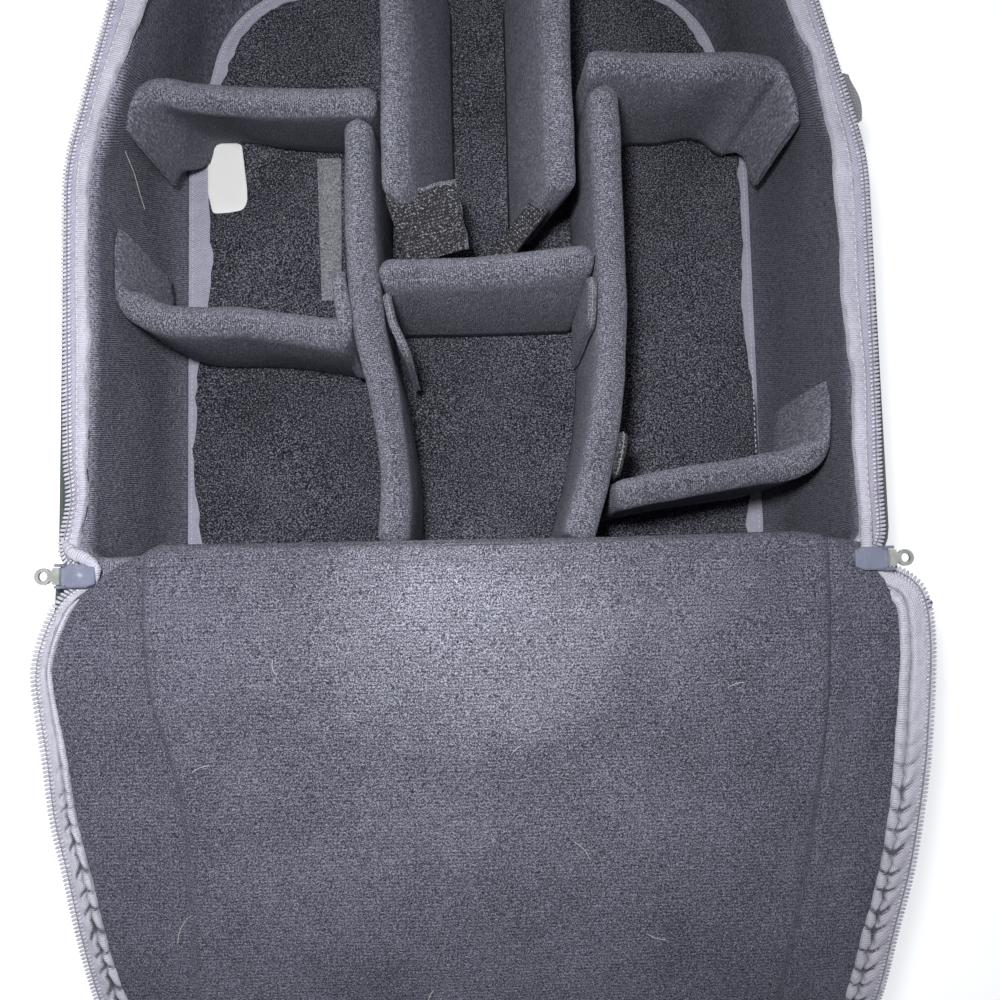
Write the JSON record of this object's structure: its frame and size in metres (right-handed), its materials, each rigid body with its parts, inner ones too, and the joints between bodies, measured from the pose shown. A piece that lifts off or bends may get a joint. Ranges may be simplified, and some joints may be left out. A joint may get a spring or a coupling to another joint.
{
  "type": "camera backpack",
  "caption": "Back-opening camera backpack lying on its front, its padded back panel unzipped and folded down over the floor, with padded dividers and a lens cradle inside.",
  "frame": {"origin": "centre of the flat outer face of the front panel, on which the pack lies", "axes": "+Z out of the opening, +Y from the hinge of the back panel to the arched top, +X to the pack's right as seen from above"},
  "size_m": [0.3298, 0.5953, 0.1578],
  "materials": {
    "pack_cloth": "slate green coated pack cloth, matt",
    "loop_knit": "charcoal brushed loop knit, matt",
    "flap_lining_knit": "heathered charcoal knit over foam, matt",
    "zip_tape": "lilac grey herringbone zip tape",
    "binding": "lilac grey ribbed binding with a pale stitch line",
    "zip_coil": "pale grey nylon coil",
    "hook_tape": "black hook tape",
    "webbing": "grey woven webbing",
    "label_card": "bare white satin label",
    "slider_metal": "blue grey enamelled die-cast zip slider",
    "buckle_plastic": "black moulded ladder buckle"
  },
  "bodies": {
    "root": {"shell_body": "pack_cloth", "wall_padding": "loop_knit", "floor_padding": "loop_knit", "floor_seam_tape": "zip_tape", "rim_zip_tape": "zip_tape", "rim_zip_coil": "zip_coil", "rim_binding": "binding", "flap_lining": "flap_lining_knit", "flap_shell": "pack_cloth", "flap_zip_tape": "zip_tape", "flap_zip_coil": "zip_coil", "flap_binding": "binding", "left_long_divider": "loop_knit", "right_long_divider": "loop_knit", "top_left_divider": "loop_knit", "top_right_divider": "loop_knit", "low_left_divider": "loop_knit", "low_right_divider": "loop_knit", "centre_divider": "loop_knit", "left_cradle_wing": "loop_knit", "right_cradle_wing": "loop_knit", "low_left_wall_tab": "loop_knit", "low_right_wall_tab": "loop_knit", "top_right_wall_tab": "loop_knit", "low_left_hook_tab": "loop_knit", "low_right_hook_tab": "hook_tape", "centre_left_hook_tab": "loop_knit", "centre_right_hook_tab": "loop_knit", "cradle_hook_tab": "hook_tape", "cradle_hook_strip": "hook_tape", "floor_label": "label_card", "floor_strip": "webbing", "left_side_pocket": "pack_cloth", "right_side_pocket": "pack_cloth", "right_side_tab": "webbing", "left_slider": "slider_metal", "right_slider": "slider_metal", "left_shoulder_strap": "pack_cloth", "left_buckle": "buckle_plastic", "left_webbing": "webbing", "left_strap_anchor": "pack_cloth", "right_shoulder_strap": "pack_cloth", "right_buckle": "buckle_plastic", "right_webbing": "webbing", "right_strap_anchor": "pack_cloth"},
    "left_pull_body": {"left_pull": "slider_metal"},
    "right_pull_body": {"right_pull": "slider_metal"}
  },
  "joints": [
    {"name": "left_pull_hinge", "type": "hinge", "parent": "root", "child": "left_pull_body", "pos_m": [-0.1434, -0.1515, 0.1564], "axis": [0, 1, 0], "range_deg": [-35, 160]},
    {"name": "right_pull_hinge", "type": "hinge", "parent": "root", "child": "right_pull_body", "pos_m": [0.1434, -0.1515, 0.1564], "axis": [0, -1, 0], "range_deg": [-35, 160]}
  ]
}
